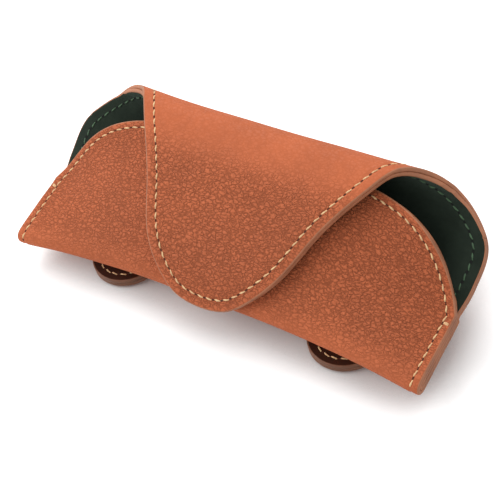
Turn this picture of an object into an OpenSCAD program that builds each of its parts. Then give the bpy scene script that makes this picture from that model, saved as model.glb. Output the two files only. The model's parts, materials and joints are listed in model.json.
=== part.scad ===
// Soft leather spectacles case with a pointed wrap-over flap and two belt loops with press studs.
// One hide is folded at the bottom, sewn up both short sides and carried over the back as the flap.
// It lies on its back: X runs along the case, -Y is the bottom fold, +Z is up, Z = 0 is the table.

/* [Case] */
// Length of the case over its two side seams
case_l = 165; // [150:1:185]
// Depth of the pocket, from the table-side origin of the section to the outside of the back
pocket_depth = 62.8; // [58:0.1:70]
// Height of the folded ridge above the table
ridge_h = 46.6; // [44:0.1:54]
// Height of the flat of the back above the table
back_h = 9.4; // [8.8:0.1:11]
// How far the side seam reaches up from the bottom fold
seam_l = 31.5; // [26:0.5:34]
// Reach of the front panel from the bottom fold to its top edge
front_l = 59.5; // [50:0.5:60]
// Angle of the side seams above the table
seam_tilt = 8.2; // [6:0.1:12]

/* [Flap] */
// Reach of the flap from the bottom fold, over the back and the ridge, to its tip
flap_reach = 152.4; // [144:0.1:155]
// Half width of the back just above the side seams
wing_half_w = 83.3; // [78:0.1:90]
// Half width of the flap where it leaves the ridge
ridge_half_w = 54.3; // [48:0.1:60]
// Half width of the flap a thumb's length above its tip
point_half_w = 26.5; // [22:0.5:30]
// How much lower the ridge is in the middle than at the flap's side edges
ridge_dip = 1.8; // [0:0.1:2.5]
// Gap between the closed flap and the front panel
flap_gap = 1; // [0.95:0.05:1.5]
// Gap between the closed flap's tip and the front panel
tip_gap = 0.5; // [0.45:0.05:0.8]

/* [Sheet] */
// Thickness of the grained outer leather
leather_t = 1.1; // [0.8:0.05:1.3]
// Thickness of the stiffening board in the middle of the sheet
board_t = 1.0; // [0.8:0.05:1.2]
// Thickness of the suede lining
lining_t = 1.0; // [0.7:0.05:1.2]
// Outer radius of the bottom fold at the middle of the case
fold_r = 4.1; // [3.7:0.1:5]
// Glue line between two layers of the sheet
glue_t = 0.03; // [0.02:0.01:0.05]
// Least distance that the boards stop short of the cut edges
board_inset = 2.2; // [1.5:0.1:2.8]

/* [Closure] */
// Radius of the two hidden magnets
magnet_r = 5; // [4:0.5:6]
// Thickness of the hidden magnets
magnet_t = 0.6; // [0.4:0.05:0.7]
// Distance from the flap's tip to the middle of its magnet
magnet_reach = 24; // [18:0.5:32]
// Opening angle of the flap
flap_open = 150; // [90:5:160]

/* [Stitching] */
// Radius of the sewing thread
thread_r = 0.3; // [0.2:0.05:0.4]
// Distance from a cut edge to its row of stitches
stitch_inset = 4; // [3:0.25:5]

/* [Belt loops] */
// Distance from the middle of the case to each belt loop
loop_x = 46; // [38:0.5:50]
// Width of a belt loop
loop_w = 27; // [22:0.5:30]
// Thickness of one of a belt loop's two leathers
loop_layer_t = 1.6; // [1.2:0.1:1.7]
// Distance of the belt loops' free ends in front of the section's origin
loop_tip_y = 3.3; // [2:0.1:6]
// Distance from a loop's free end to its snap
snap_reach = 14; // [12:0.5:16]
// Radius of the snap's cap
cap_r = 6.2; // [5:0.1:7]
// Height of the snap's cap
cap_h = 0.9; // [0.7:0.05:1.2]
// Radius of the snap's rivet
rivet_r = 1.9; // [1.5:0.1:2.2]

/* [Hidden] */

sheet_t = leather_t + board_t + lining_t + 2 * glue_t;
half_l = case_l / 2;
rise = ridge_h - back_h;
step = 0.01;
spline_steps = 8;
seam_step = 0.8;

function unit(v) = v / norm(v);
function left_of(v) = [-v[1], v[0]];
function on_arc(c, r, a) = c + r * [cos(a), sin(a)];

// Point on a centripetal spline between b and c.
function spline_point(a, b, c, d, f) =
  let (ab = sqrt(norm(b - a)), bc = sqrt(norm(c - b)), cd = sqrt(norm(d - c)),
    p = ab + f * bc,
    q1 = a * (ab - p) / ab + b * p / ab,
    q2 = b * (ab + bc - p) / bc + c * (p - ab) / bc,
    q3 = c * (ab + bc + cd - p) / cd + d * (p - ab - bc) / cd,
    r1 = q1 * (ab + bc - p) / (ab + bc) + q2 * p / (ab + bc),
    r2 = q2 * (ab + bc + cd - p) / (bc + cd) + q3 * (p - ab) / (bc + cd))
  r1 * (ab + bc - p) / bc + r2 * (p - ab) / bc;

// A smooth line through the points, as a close polyline.
function spline(pts, steps = spline_steps) =
  let (n = len(pts), first = 2 * pts[0] - pts[1], last = 2 * pts[n - 1] - pts[n - 2],
    all = concat([first], pts, [last]))
  concat([for (i = [1 : n - 1], k = [0 : steps - 1])
    spline_point(all[i - 1], all[i], all[i + 1], all[i + 2], k / steps)], [pts[n - 1]]);

// Running length along a polyline.
function lengths(line, i = 0, sum = 0, out = []) =
  i >= len(line) ? out
  : lengths(line, i + 1, i + 1 < len(line) ? sum + norm(line[i + 1] - line[i]) : sum, concat(out, [sum]));

// Tables from running length to the two coordinates of a polyline.
function tables(line) =
  let (l = lengths(line))
  [[for (i = [0 : len(line) - 1]) [l[i], line[i][0]]], [for (i = [0 : len(line) - 1]) [l[i], line[i][1]]],
    l[len(line) - 1]];
function at(t, s) = [lookup(s, t[0]), lookup(s, t[1])];
// The same, but running straight on past the line's end.
function along(t, s) = at(t, s) + max(0, s - t[2]) * unit(at(t, t[2]) - at(t, t[2] - step));

// Closed flap, from the outside of the back over the ridge to the tip, in the YZ plane.
arch_r = 9.4;
arch_c = [pocket_depth - arch_r, ridge_h - arch_r];
flap_line = concat([for (a = [0 : 22.5 : 90]) on_arc(arch_c, arch_r, a)],
  [[0.709 * pocket_depth, back_h + 0.944 * rise], [0.482 * pocket_depth, back_h + 0.786 * rise],
   [0.151 * pocket_depth, back_h + 0.446 * rise], [-0.012 * pocket_depth, back_h + 0.155 * rise]]);
flap_tab = tables(spline(flap_line));

// The front panel lies a sheet and a gap inside the flap.
under_flap = sheet_t + flap_gap;
function flap_dir(s) = unit(at(flap_tab, s + step) - at(flap_tab, s - step));
function below_flap(from_tip, depth = under_flap) =
  let (s = flap_tab[2] - from_tip) at(flap_tab, s) + depth * left_of(flap_dir(s));
// The flap's tip lies closer to the front than the rest, and the front runs on straight below it.
foot_from_tip = 10;
front_foot = below_flap(foot_from_tip, sheet_t + tip_gap);
front_out = -left_of(flap_dir(flap_tab[2] - foot_from_tip));
fold_c = let (z = back_h + 0.7 + fold_r)
  [front_foot[0] + (-fold_r - front_out[1] * (z - front_foot[1])) / front_out[0], z];
front_angle = atan2(front_out[1], front_out[0]);
fold_split = 225;
mid_front = concat([for (i = [0 : 3]) on_arc(fold_c, fold_r, fold_split - i * (fold_split - front_angle) / 3)],
  [front_foot, below_flap(32), below_flap(46), below_flap(64)]);
mid_back = concat([for (a = [fold_split : 15 : 270]) on_arc(fold_c, fold_r, a)],
  [[0.40 * pocket_depth, back_h], [0.64 * pocket_depth, back_h + 0.008 * rise],
   [0.835 * pocket_depth, back_h + 0.137 * rise], [0.963 * pocket_depth, back_h + 0.40 * rise],
   arch_c + [arch_r, -2.7], arch_c + [arch_r, 0]]);

// At the sewn ends both panels lie flat against each other along the seam.
seam_r = sheet_t + glue_t;
seam_dir = [cos(seam_tilt), sin(seam_tilt)];
seam_out = left_of(seam_dir);
seam_c = [0.054 * pocket_depth, back_h + 3.8];
seam_split = 180 + seam_tilt;
seam_end = seam_c + (seam_l - 1.57 * seam_r) * seam_dir;
end_front = concat([for (i = [0 : 3]) on_arc(seam_c, seam_r, seam_split - 30 * i)],
  [seam_c + 13 * seam_dir + seam_r * seam_out, seam_end + seam_r * seam_out,
   [0.589 * pocket_depth, back_h + 0.435 * rise], [0.689 * pocket_depth, back_h + 0.669 * rise],
   [0.74 * pocket_depth, back_h + 0.806 * rise]]);
end_back = concat([for (i = [0 : 3]) on_arc(seam_c, seam_r, seam_split + 30 * i)],
  [seam_c + 13 * seam_dir - seam_r * seam_out, seam_end - seam_r * seam_out,
   [0.651 * pocket_depth, back_h + 0.237 * rise], [0.853 * pocket_depth, back_h + 0.433 * rise],
   [0.978 * pocket_depth, back_h + 0.637 * rise], arch_c + [arch_r, 0]]);
mid_front_tab = tables(spline(mid_front));
mid_back_tab = tables(spline(mid_back));
end_front_tab = tables(spline(end_front));
end_back_tab = tables(spline(end_back));
back_l = mid_back_tab[2];
front_scale = end_front_tab[2] / mid_front_tab[2];
back_scale = end_back_tab[2] / back_l;

// How far the section at x has changed from the middle one (0) to the sewn one (1).
flat_from = 0.965;
function pinch(x) = let (q = min(1, abs(x) / (half_l * flat_from))) 1 - pow(1 - pow(q, 3.1), 1.3);

ridge_reach = 14;
thread_clear = 0.2;

// The outside of the sheet: s runs from the front's top edge (below 0) round the fold to the flap's tip.
function outside(x, s) =
  let (k = pinch(x), p =
    s > back_l ? along(flap_tab, s - back_l)
    : s > 0 ? (1 - k) * at(mid_back_tab, s) + k * at(end_back_tab, s * back_scale)
    : (1 - k) * at(mid_front_tab, -s) + k * at(end_front_tab, -s * front_scale))
  [x, p[0], p[1] + ridge_dip * pow(min(abs(x), ridge_half_w + 6) / ridge_half_w, 2)
    * exp(-pow((s - back_l - ridge_reach) / 16, 2))];
function outward(x, s) =
  unit(cross(outside(x, s + step) - outside(x, s - step), outside(x + step, s) - outside(x - step, s)));

// Cut outline of the back and flap in the flat: half width against reach.
outline = spline([[seam_l + seam_step, half_l - 0.7], [seam_l + 12, wing_half_w],
  [seam_l + 27, wing_half_w - 1.1], [back_l - 0.5, 1.25 * ridge_half_w], [back_l + 9.5, ridge_half_w],
  [back_l + 25, 0.81 * ridge_half_w], [back_l + 40, 0.652 * ridge_half_w], [flap_reach - 18, point_half_w],
  [flap_reach - 7.5, 0.69 * point_half_w], [flap_reach - 1.8, 0.4 * point_half_w], [flap_reach, 0]], 6);
function half_w(s) = s <= seam_l ? half_l : lookup(s, outline);
function front_top(x) = seam_l + (front_l - seam_l) * (1 - pow(min(1, abs(x) / half_l), 6.6));

// A curved sheet from a grid of [x, s] places, between two depths below the outside.
function grid_faces(r, c) = let (n = r * c) concat(
  [for (i = [0 : r - 2], j = [0 : c - 2]) let (a = i * c + j) each [[a, a + 1, a + c], [a + 1, a + c + 1, a + c]]],
  [for (i = [0 : r - 2], j = [0 : c - 2]) let (a = n + i * c + j) each [[a, a + c, a + 1], [a + 1, a + c, a + c + 1]]],
  [for (i = [0 : r - 2]) let (a = i * c) each [[a, a + c, a + n], [a + c, a + c + n, a + n]]],
  [for (i = [0 : r - 2]) let (a = i * c + c - 1) each [[a, a + n, a + c], [a + c, a + n, a + c + n]]],
  [for (j = [0 : c - 2]) each [[j, j + n, j + 1], [j + 1, j + n, j + n + 1]]],
  [for (j = [0 : c - 2]) let (a = (r - 1) * c + j) each [[a, a + 1, a + n], [a + 1, a + n + 1, a + n]]]);
module sheet(grid, top, bottom) {
  r = len(grid);
  c = len(grid[0]);
  base = [for (row = grid, g = row) outside(g[0], g[1])];
  up = [for (row = grid, g = row) outward(g[0], g[1])];
  polyhedron(concat([for (i = [0 : r * c - 1]) base[i] - top * up[i]],
    [for (i = [0 : r * c - 1]) base[i] - bottom * up[i]]), grid_faces(r, c));
}

// A round thread along [x, s] places, lying at a height above the outside.
module thread(places, lift = thread_r + thread_clear) {
  n = len(places);
  sides = 5;
  p = [for (g = places) outside(g[0], g[1]) + lift * outward(g[0], g[1])];
  up = [for (g = places) outward(g[0], g[1])];
  run = [for (i = [0 : n - 1]) unit(p[min(n - 1, i + 1)] - p[max(0, i - 1)])];
  pts = [for (i = [0 : n - 1], k = [0 : sides - 1])
    p[i] + thread_r * (cos(72 * k) * up[i] + sin(72 * k) * cross(run[i], up[i]))];
  polyhedron(pts, concat([[for (k = [0 : sides - 1]) k]],
    [for (i = [0 : n - 2], k = [0 : sides - 1]) let (a = i * sides, b = (k + 1) % sides)
      each [[a + k, a + sides + k, a + b], [a + b, a + sides + k, a + sides + b]]],
    [[for (k = [sides - 1 : -1 : 0]) (n - 1) * sides + k]]));
}

// Grids of places.
columns = [for (i = [-13 : 13]) let (t = i / 13) t * (1.35 - 0.35 * t * t)];
front_rows = [1, 0.95, 0.88, 0.78, 0.65, 0.52, 0.4, 0.29, 0.2, 0.14, 0.09, 0.045];
hinge_s = back_l + 6;
function steps_between(a, b, n) = [for (i = [0 : n]) a + (b - a) * i / n];
back_rows = concat([0, 2, 4, 7, 12, 18, 24.5], [seam_l, seam_l + seam_step],
  steps_between(seam_l + 5, back_l - 3, 7), [back_l, back_l + 3, hinge_s]);
flap_rows = concat([for (d = [0, 2.5, 5, 8, 11, 15]) hinge_s + d], steps_between(hinge_s + 20, flap_reach - 20, 6),
  [for (d = [15, 11, 7.5, 5, 3, 1.5, 0.6, 0.12]) flap_reach - d]);
function front_place(u, q, inset = 0) =
  let (x = u * (half_l - inset)) [x, -q * (front_top(x) - inset)];
pocket_grid = concat([for (q = front_rows) [for (u = columns) front_place(u, q)]],
  [for (s = back_rows) [for (u = columns) [u * half_w(s), s]]]);
flap_grid = [for (s = flap_rows) [for (u = columns) [u * half_w(s), s]]];

// The boards keep to the inner columns and rows of the leather's own grid.
board_columns = [for (i = [2 : len(columns) - 3]) columns[i]];
function between(list, a, b) = [for (v = list) if (v >= a && v <= b) v];
board_top = leather_t + glue_t;
board_bottom = board_top + board_t;
lining_top = board_bottom + glue_t;
fold_free = 6.9;

magnet_s = flap_reach - magnet_reach;
// Turns a piece made along +Z to stand on the sheet at a place, pointing inwards.
module seated(x, s, depth) {
  p = outside(x, s);
  n = outward(x, s);
  translate(p - depth * n) rotate([atan2(n[1], -n[2]), 0, 0]) children();
}
// Place on the front panel under the flap's magnet.
function under_reach(s, f) =
  let (d = at(mid_front_tab, f) - at(flap_tab, s - back_l)) d * flap_dir(s - back_l);
front_magnet_s = lookup(0, [for (f = [4 : 0.5 : 50]) [-under_reach(magnet_s, f), f]]);

module pocket_leather() color([0.72, 0.36, 0.22]) difference() {
  sheet(pocket_grid, 0, leather_t);
  for (side = [-1, 1]) translate([side * loop_x, snap_y, back_h - 2]) cylinder(r = rivet_r + 0.1, h = 8, $fn = 24);
}
module pocket_lining() color([0.07, 0.11, 0.09]) sheet(pocket_grid, lining_top, sheet_t);
module front_board() color([0.62, 0.5, 0.38]) difference() {
  sheet([for (q = between(front_rows, fold_free / front_l, 1 - board_inset / front_l))
    [for (u = board_columns) front_place(u, q)]], board_top, board_bottom);
  seated(0, -front_magnet_s, -5) cylinder(r = magnet_r + 0.2, h = 12, $fn = 48);
}
module back_board() color([0.62, 0.5, 0.38]) difference() {
  sheet([for (s = between(back_rows, fold_free, hinge_s - board_inset))
    [for (u = board_columns) [u * half_w(s), s]]], board_top, board_bottom);
  for (side = [-1, 1]) translate([side * loop_x, snap_y, back_h - 2]) cylinder(r = post_r + 0.3, h = 8, $fn = 32);
}
module front_magnet() color([0.6, 0.6, 0.62])
  seated(0, -front_magnet_s, board_top + (board_t - magnet_t) / 2) cylinder(r = magnet_r, h = magnet_t, $fn = 48);
module flap_leather() color([0.74, 0.37, 0.22]) sheet(flap_grid, 0, leather_t);
module flap_lining() color([0.07, 0.11, 0.09]) sheet(flap_grid, lining_top, sheet_t);
module flap_board() color([0.62, 0.5, 0.38]) difference() {
  sheet([for (s = between(flap_rows, hinge_s + board_inset, flap_reach - board_inset))
    [for (u = board_columns) [u * half_w(s), s]]], board_top, board_bottom);
  seated(0, magnet_s, -5) cylinder(r = magnet_r + 0.2, h = 12, $fn = 48);
}
module flap_magnet() color([0.6, 0.6, 0.62])
  seated(0, magnet_s, board_top + (board_t - magnet_t) / 2) cylinder(r = magnet_r, h = magnet_t, $fn = 48);

// Rows of stitches, one inset in from the cut edge in the flat.
edge_half = [for (p = outline) if (p[0] > seam_l + 3) [p[1], p[0]]];
function inset_line(line, d) = [for (i = [0 : len(line) - 1])
  let (t = unit(line[min(len(line) - 1, i + 1)] - line[max(0, i - 1)])) line[i] + d * left_of(t)];
right_row = inset_line(edge_half, stitch_inset);
function mirrored(row) = [for (i = [len(row) - 1 : -1 : 0]) [-row[i][0], row[i][1]]];
function cut_at(row, s0, s1) = [for (p = row) if (p[1] >= s0 && p[1] <= s1) p];
flap_row = cut_at(right_row, hinge_s + 0.5, flap_reach);
back_row = cut_at(right_row, 0, hinge_s - 0.5);
mouth_row = [for (u = steps_between(-0.985, 0.985, 60))
  let (x = u * (half_l - stitch_inset)) [x, -(front_top(x) - stitch_inset)]];
seam_row = [for (s = steps_between(3, seam_l - stitch_inset, 12)) [half_l - stitch_inset, -s]];
function flipped(row) = [for (p = row) [-p[0], p[1]]];

module mouth_thread() color([0.93, 0.6, 0.3]) thread([for (p = mouth_row) if (abs(p[0]) < half_l - 5.5) p]);
module flap_edge_thread() color([0.93, 0.6, 0.3]) thread(concat(flap_row, mirrored(flap_row)));
module side_seam_thread(side) color([0.93, 0.6, 0.3])
  thread([for (p = seam_row) [side * p[0], p[1]]], thread_r + 1.8 * thread_clear);
module side_bartack(side) color([0.93, 0.6, 0.3])
  for (d = [0, 1.1]) thread([for (t = [0 : 2]) [side * (half_l - 2.9 + 0.9 * t), -(seam_l - 3.2 + d)]]);
module back_edge_thread(side) color([0.93, 0.6, 0.3]) thread([for (p = back_row) [side * p[0], p[1]]]);

// Belt loops: a doubled strap, sewn to the back at its top and snapped near the bottom fold.
loop_t = 2 * loop_layer_t + glue_t;
snap_y = loop_tip_y + snap_reach;
anchor_s = 61;
anchor_l = 9;
// The back bulges most at the loop's inner side, so the loop is laid out on the section there.
loop_in_x = loop_x - loop_w / 2;
anchor_n = let (o = outward(loop_in_x, anchor_s)) unit([o[1], o[2]]);
anchor_at = let (p = outside(loop_in_x, anchor_s)) [p[1], p[2]];
loop_lift = 0.35;
anchor_steps = steps_between(anchor_s + 0.15, anchor_s + anchor_l, 4);
// Section of the sewn end, at a height above the back.
function anchor_side(s, lift) = let (p = outside(loop_in_x, s), o = outward(loop_in_x, s))
  [p[1], p[2]] + lift * unit([o[1], o[2]]);
loop_line = spline([[loop_tip_y, cap_h + loop_t], [snap_y + 4, cap_h + loop_t], [0.52 * pocket_depth, cap_h + loop_t - 0.2],
  [0.70 * pocket_depth, loop_t + 0.15], [0.85 * pocket_depth, 0.7 + back_h - 3.4],
  [0.95 * pocket_depth, back_h + 3.6], anchor_at + loop_lift * anchor_n + [1.1, -7],
  anchor_at + loop_lift * anchor_n], 5);
function loop_side(d) = [for (i = [0 : len(loop_line) - 1])
  let (t = unit(loop_line[min(len(loop_line) - 1, i + 1)] - loop_line[max(0, i - 1)]))
  loop_line[i] + d * (i == len(loop_line) - 1 ? anchor_n : -left_of(t))];
function backwards(l) = [for (i = [len(l) - 1 : -1 : 0]) l[i]];
module loop_band(side, d0, d1) intersection() {
  translate([side * loop_x - loop_w / 2, 0, 0]) rotate([90, 0, 90])
    linear_extrude(loop_w) polygon(concat(loop_side(d0), backwards(loop_side(d1))));
  union() {
    translate([side * loop_x, loop_tip_y + loop_w / 2, -5]) cylinder(r = loop_w / 2, h = 60, $fn = 96);
    translate([side * loop_x - loop_w / 2, loop_tip_y + loop_w / 2, -5]) cube([loop_w, 80, 80]);
  }
}
module rivet_hole(side) translate([side * loop_x, snap_y, -1]) cylinder(r = rivet_r + 0.05, h = 8, $fn = 48);
module loop_outer(side) color([0.72, 0.36, 0.22]) difference() {
  loop_band(side, loop_layer_t + glue_t, loop_t);
  rivet_hole(side);
}
module loop_inner(side) color([0.25, 0.12, 0.07]) difference() {
  loop_band(side, 0, loop_layer_t);
  rivet_hole(side);
}
module loop_anchor(side) color([0.66, 0.33, 0.2])
  translate([side * loop_x - loop_w / 2, 0, 0]) rotate([90, 0, 90]) linear_extrude(loop_w)
    polygon(concat([for (s = anchor_steps) anchor_side(s, loop_lift)],
      [for (s = backwards(anchor_steps)) anchor_side(s, loop_lift + loop_t)]));
module loop_thread(side) color([0.93, 0.6, 0.3]) {
  z = cap_h + loop_t + thread_r + 0.03;
  r = loop_w / 2 - 3;
  translate([side * loop_x, loop_tip_y + loop_w / 2, z]) rotate([0, 0, 180])
    rotate_extrude(angle = 180, $fn = 64) translate([r, 0]) circle(r = thread_r, $fn = 16);
}
module anchor_thread(side) color([0.93, 0.6, 0.3])
  for (s = [anchor_s + 2, anchor_s + anchor_l - 2])
    translate(concat([side * loop_x - loop_w / 2 + 3], anchor_side(s, loop_lift + loop_t + thread_r + 0.02)))
      rotate([0, 90, 0]) cylinder(r = thread_r, h = loop_w - 6, $fn = 16);

// Snap fastener: cap and socket riveted to the loop, stud and post riveted to the back's leather.
socket_top = 2.3;
post_r = 3.6;
post_t = 0.5;
stud_seat = min([for (x = [-5, 0, 5], y = [-5, 0, 5]) sheet_low(loop_x + x, snap_y + y)]) - 0.03;
function sheet_low(x, y) = outside(x, lookup(y, [for (s = [3 : 1 : 40]) [outside(x, s)[1], s]]))[2];
module snap_cap(side) color([0.55, 0.45, 0.3]) translate([side * loop_x, snap_y, 0])
  rotate_extrude($fn = 64) polygon([[0, 0], [cap_r - 1.2, 0], [cap_r, cap_h - 0.25], [cap_r, cap_h - 0.02],
    [rivet_r, cap_h - 0.02], [rivet_r, cap_h + loop_t + 0.5], [0, cap_h + loop_t + 0.5]]);
module snap_socket(side) color([0.55, 0.45, 0.3]) translate([side * loop_x, snap_y, cap_h + loop_t + 0.02])
  rotate_extrude($fn = 64) polygon([[rivet_r + 0.02, 0], [5.6, 0], [5.6, 0.6], [4.7, socket_top],
    [3.4, socket_top], [3.4, 0.7], [rivet_r + 0.02, 0.7]]);
module snap_stud(side) color([0.55, 0.45, 0.3]) translate([side * loop_x, snap_y, 0])
  rotate_extrude($fn = 64) polygon([[0, cap_h + loop_t + 1.1], [1.9, cap_h + loop_t + 1.1],
    [2.3, cap_h + loop_t + 1.7], [2, cap_h + loop_t + 2.5], [2, stud_seat - 0.6], [5, stud_seat - 0.5],
    [5, stud_seat], [0, stud_seat]]);
module snap_post(side) color([0.55, 0.45, 0.3])
  translate([side * loop_x, snap_y, stud_seat]) {
    cylinder(r = rivet_r, h = post_seat - stud_seat + 0.1, $fn = 48);
    translate([0, 0, post_seat - stud_seat]) cylinder(r = post_r, h = post_t, $fn = 48);
  }
post_seat = max([for (x = [-post_r, 0, post_r], y = [-post_r, 0, post_r])
  sheet_low(loop_x + x, snap_y + y)]) + board_top + 0.03;

// The origin is the middle of the footprint: half way from the foremost point to the back of the belt loops.
footprint_y = (min(concat([loop_tip_y, outside(0, flap_reach)[1]],
    [for (x = [0, half_l], s = [-6 : 0.5 : 6]) outside(x, s)[1]]))
  + max(concat([for (p = loop_side(loop_t)) p[0]], [for (s = anchor_steps) anchor_side(s, loop_lift + loop_t)[0]]))) / 2;
module centred() translate([0, -footprint_y, 0]) children();

centred() pocket_leather();
centred() pocket_lining();
centred() front_board();
centred() back_board();
centred() front_magnet();
centred() flap_leather();
centred() flap_lining();
centred() flap_board();
centred() flap_magnet();
centred() mouth_thread();
centred() flap_edge_thread();
centred() side_seam_thread(-1);  // side_seam_thread_left
centred() side_seam_thread(1);  // side_seam_thread_right
centred() side_bartack(-1);  // side_bartack_left
centred() side_bartack(1);  // side_bartack_right
centred() back_edge_thread(-1);  // back_edge_thread_left
centred() back_edge_thread(1);  // back_edge_thread_right
centred() loop_outer(-1);  // loop_outer_left
centred() loop_outer(1);  // loop_outer_right
centred() loop_inner(-1);  // loop_inner_left
centred() loop_inner(1);  // loop_inner_right
centred() loop_anchor(-1);  // loop_anchor_left
centred() loop_anchor(1);  // loop_anchor_right
centred() loop_thread(-1);  // loop_thread_left
centred() loop_thread(1);  // loop_thread_right
centred() anchor_thread(-1);  // anchor_thread_left
centred() anchor_thread(1);  // anchor_thread_right
centred() snap_cap(-1);  // snap_cap_left
centred() snap_cap(1);  // snap_cap_right
centred() snap_socket(-1);  // snap_socket_left
centred() snap_socket(1);  // snap_socket_right
centred() snap_stud(-1);  // snap_stud_left
centred() snap_stud(1);  // snap_stud_right
centred() snap_post(-1);  // snap_post_left
centred() snap_post(1);  // snap_post_right
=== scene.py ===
"""Looks of a soft leather spectacles case: hide, suede, painted edges, stitching, belt loops and snaps.

The flat patterns are cut, laid on the case's own curved surface and given their thickness here. Lengths in
the pattern maths are millimetres. Flat places are (x, s): x along the case, s the reach from the bottom fold.
"""

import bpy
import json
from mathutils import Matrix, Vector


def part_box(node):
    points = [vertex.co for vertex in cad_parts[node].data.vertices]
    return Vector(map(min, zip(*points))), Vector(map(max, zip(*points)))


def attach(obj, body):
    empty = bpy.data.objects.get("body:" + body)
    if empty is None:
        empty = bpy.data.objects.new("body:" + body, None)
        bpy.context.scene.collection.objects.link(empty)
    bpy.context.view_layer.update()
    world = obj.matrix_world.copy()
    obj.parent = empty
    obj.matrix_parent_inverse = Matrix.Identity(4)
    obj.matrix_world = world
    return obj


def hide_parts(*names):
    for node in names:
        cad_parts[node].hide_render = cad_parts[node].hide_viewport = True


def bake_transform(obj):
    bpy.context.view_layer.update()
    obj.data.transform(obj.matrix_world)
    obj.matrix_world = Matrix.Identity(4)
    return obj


bl_info = {
    "name": "Leather Spectacles Case",
    "version": (1, 0, 0),
    "blender": (4, 5, 0),
    "location": "View3D > Sidebar > Spectacles Case",
    "description": "Cuts, folds and sews a leather spectacles case around its construction",
    "category": "Object",
}

import json
import math

import bpy
import numpy as np
from bpy.props import FloatProperty, FloatVectorProperty, PointerProperty
from mathutils import Matrix, Vector
from mathutils.geometry import delaunay_2d_cdt

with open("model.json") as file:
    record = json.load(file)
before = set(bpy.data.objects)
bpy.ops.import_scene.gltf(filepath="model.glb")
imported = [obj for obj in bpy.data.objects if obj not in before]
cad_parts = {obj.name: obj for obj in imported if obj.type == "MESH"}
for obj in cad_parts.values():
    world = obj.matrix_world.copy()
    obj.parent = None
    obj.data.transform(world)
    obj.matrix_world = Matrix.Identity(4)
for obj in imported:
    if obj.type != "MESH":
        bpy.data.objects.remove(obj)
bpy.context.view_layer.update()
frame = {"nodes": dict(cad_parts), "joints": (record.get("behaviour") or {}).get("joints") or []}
MM = 0.001

# ---------------------------------------------------------------- sizes of the case, in millimetres
CASE_L = 165.0
POCKET_DEPTH = 62.8
RIDGE_H = 46.6
BACK_H = 9.4
SEAM_L = 31.5
FRONT_L = 59.5
SEAM_TILT = 8.2
FLAP_REACH = 152.4
WING_HALF_W = 83.3
RIDGE_HALF_W = 54.3
POINT_HALF_W = 26.5
RIDGE_DIP = 1.8
FLAP_GAP = 1.0
TIP_GAP = 0.5
FOOT_FROM_TIP = 10
SHEET_T = 3.16
LEATHER_T = 1.1
BOARD_T = 1.0
GLUE_T = 0.03
FOLD_R = 4.1
ARCH_R = 9.4
RIDGE_REACH = 14
FLAT_FROM = 0.965
LOOP_X = 46.0
LOOP_W = 27.0
LOOP_LAYER_T = 1.6
LOOP_T = 2 * LOOP_LAYER_T + GLUE_T
LOOP_TIP_Y = 3.3
SNAP_REACH = 14.0
CAP_H = 0.9
ANCHOR_S = 61.0
ANCHOR_L = 9.0
LOOP_LIFT = 0.35
FOLD_LIFT = 0.7
SEAM_LIFT = 3.8
SEAM_STRAIGHT = 13
DIP_SPREAD = 16
DIP_PAST = 6
WAVE_H = 0.14
JOIN_BELOW_BEND = 14
BEND_L = 19

# How each line is divided up, and how many places are measured at a time.
SPLINE_STEPS = 16
CHUNK = 1500
# An inset line drops the places that come nearer to the cut than this share of its distance.
CLEAR_SHARE = 0.96

half_l = CASE_L / 2
rise = RIDGE_H - BACK_H
snap_low, snap_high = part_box("snap_cap_left")
footprint_y = LOOP_TIP_Y + SNAP_REACH - (snap_low.y + snap_high.y) / 2 / MM

# ---------------------------------------------------------------- curves


def unit(v):
    return v / np.linalg.norm(v, axis=-1, keepdims=True)


def left_of(v):
    return np.stack([-v[..., 1], v[..., 0]], -1)


def on_arc(centre, radius, degrees):
    a = np.radians(degrees)
    return centre + radius * np.array([np.cos(a), np.sin(a)])


def spline(points, steps=SPLINE_STEPS):
    """A smooth line through the points, by the centripetal rule."""
    pts = [np.array(p, float) for p in points]
    pts = [2 * pts[0] - pts[1], *pts, 2 * pts[-1] - pts[-2]]
    line = []
    for a, b, c, d in zip(pts, pts[1:], pts[2:], pts[3:]):
        ab, bc, cd = (math.sqrt(np.linalg.norm(v)) for v in (b - a, c - b, d - c))
        f = np.arange(steps)[:, None] / steps
        p = ab + f * bc
        q1 = a * (ab - p) / ab + b * p / ab
        q2 = b * (ab + bc - p) / bc + c * (p - ab) / bc
        q3 = c * (ab + bc + cd - p) / cd + d * (p - ab - bc) / cd
        r1 = q1 * (ab + bc - p) / (ab + bc) + q2 * p / (ab + bc)
        r2 = q2 * (ab + bc + cd - p) / (bc + cd) + q3 * (p - ab) / (bc + cd)
        line.append(r1 * (ab + bc - p) / bc + r2 * (p - ab) / bc)
    return np.vstack([*line, pts[-2]])


class Path:
    """A line that is read by its running length, and runs straight on past its end."""

    def __init__(self, line):
        self.line = np.asarray(line, float)
        self.run = np.r_[0, np.cumsum(np.linalg.norm(np.diff(self.line, axis=0), axis=1))]
        self.length = self.run[-1]

    def __call__(self, s):
        s = np.asarray(s, float)
        p = np.stack([np.interp(s, self.run, column) for column in self.line.T], -1)
        over = np.maximum(0, s - self.length)[..., None]
        return p + over * unit(self.line[-1] - self.line[-2])

    def heading(self, s, reach=0.4):
        return unit(self(np.asarray(s) + reach) - self(np.asarray(s) - reach))


def resampled(line, pitch):
    path = Path(line)
    return path(np.linspace(0, path.length, max(2, round(path.length / pitch) + 1)))


# ---------------------------------------------------------------- the case's surface

arch_c = np.array([POCKET_DEPTH - ARCH_R, RIDGE_H - ARCH_R])


def section(depth_share, rise_share):
    return np.array([depth_share * POCKET_DEPTH, BACK_H + rise_share * rise])


flap_path = Path(spline([on_arc(arch_c, ARCH_R, a) for a in (0, 22.5, 45, 67.5, 90)] + [
    section(0.709, 0.944), section(0.482, 0.786), section(0.151, 0.446), section(-0.012, 0.155)]))


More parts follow.
